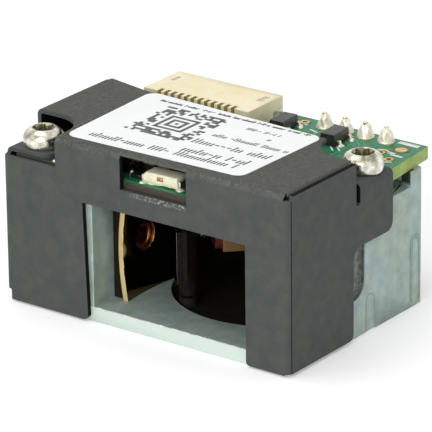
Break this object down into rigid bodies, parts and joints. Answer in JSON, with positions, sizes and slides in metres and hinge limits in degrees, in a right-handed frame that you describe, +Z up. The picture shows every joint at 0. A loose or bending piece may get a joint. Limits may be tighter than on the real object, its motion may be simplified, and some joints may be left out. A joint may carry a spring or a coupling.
{
  "type": "barcode scan engine",
  "caption": "Compact laser scan engine: die-cast chassis, folded dark cover with a scan window, circuit board with ribbon connector, and a swinging mirror inside.",
  "frame": {"origin": "on the underside plane, under the middle of the casting's width and of the overall depth, 0.3 mm right of the middle of the overall box", "axes": "+X along the width to the right of the scan window, -Y out of the scan window, +Z up from the casting's underside through the board"},
  "size_m": [0.0416, 0.0304, 0.0225],
  "materials": {
    "zinc_casting": "die-cast zinc, fine matte skin",
    "dark_sheet": "thin dark conversion coat on folded sheet, matte",
    "label_film": "white printed label, satin",
    "green_laminate": "solder mask over glass laminate, satin gloss",
    "gold_plating": "thin gold plating",
    "nickel_screw": "nickel plated, bright",
    "ivory_nylon": "moulded, satin",
    "tinned_metal": "tinned, bright",
    "solder": "smooth reflowed solder",
    "lamp_body": "cream moulded lamp body",
    "black_epoxy": "moulded, fine matte",
    "laser_brass": "turned brass",
    "diode_can": "plated can",
    "clear_glass": "polished",
    "gold_mirror": "gold coated",
    "black_nylon": "moulded, matte",
    "steel_pin": "ground",
    "scan_mirror_glass": "front coated",
    "magnet_nickel": "nickel plated",
    "copper_wire": "enamelled copper",
    "amber_tape": "polyimide tape",
    "sensor_plastic": "dark clear epoxy",
    "red_filter": "polished",
    "crystal_can": "drawn can, satin",
    "capacitor_ceramic": "fired, matte",
    "resistor_film": "glazed film on ceramic"
  },
  "bodies": {
    "engine": {"chassis": "zinc_casting", "cover": "dark_sheet", "label": "label_film", "circuit_board": "green_laminate", "board_pads": "gold_plating", "left_screw": "nickel_screw", "right_screw": "nickel_screw", "connector_housing": "ivory_nylon", "connector_contacts": "gold_plating", "connector_tabs": "tinned_metal", "indicator_led": "lamp_body", "indicator_terminals": "tinned_metal", "rear_transistor": "black_epoxy", "rear_transistor_leads": "tinned_metal", "side_transistor": "black_epoxy", "side_transistor_leads": "tinned_metal", "header_pins": "gold_plating", "solder_joints": "solder", "laser_barrel": "laser_brass", "laser_diode": "diode_can", "laser_lens": "clear_glass", "laser_leads": "gold_plating", "mirror_bracket": "black_nylon", "collecting_mirror": "gold_mirror", "scan_carrier": "black_nylon", "carrier_screws": "tinned_metal", "pivot_pin": "steel_pin", "coil_bobbin": "black_nylon", "drive_coil": "copper_wire", "coil_tape": "amber_tape", "coil_leads": "copper_wire", "detector_holder": "black_nylon", "photodiode": "sensor_plastic", "optical_filter": "red_filter", "detector_leads": "tinned_metal", "decoder_chip": "black_epoxy", "decoder_chip_leads": "tinned_metal", "amplifier_chip": "black_epoxy", "amplifier_leads": "tinned_metal", "crystal": "crystal_can", "ceramic_capacitors": "capacitor_ceramic", "resistors": "resistor_film"},
    "scan_mirror_group": {"scan_mirror": "scan_mirror_glass", "mirror_holder": "black_nylon", "drive_magnet": "magnet_nickel"}
  },
  "joints": [
    {"name": "mirror_swing", "type": "hinge", "parent": "engine", "child": "scan_mirror_group", "pos_m": [-0.0005, -0.0064, 0.0086], "axis": [0, 0, 1], "range_deg": [-12, 12], "stiffness_Nm_per_rad": 0.00002}
  ]
}
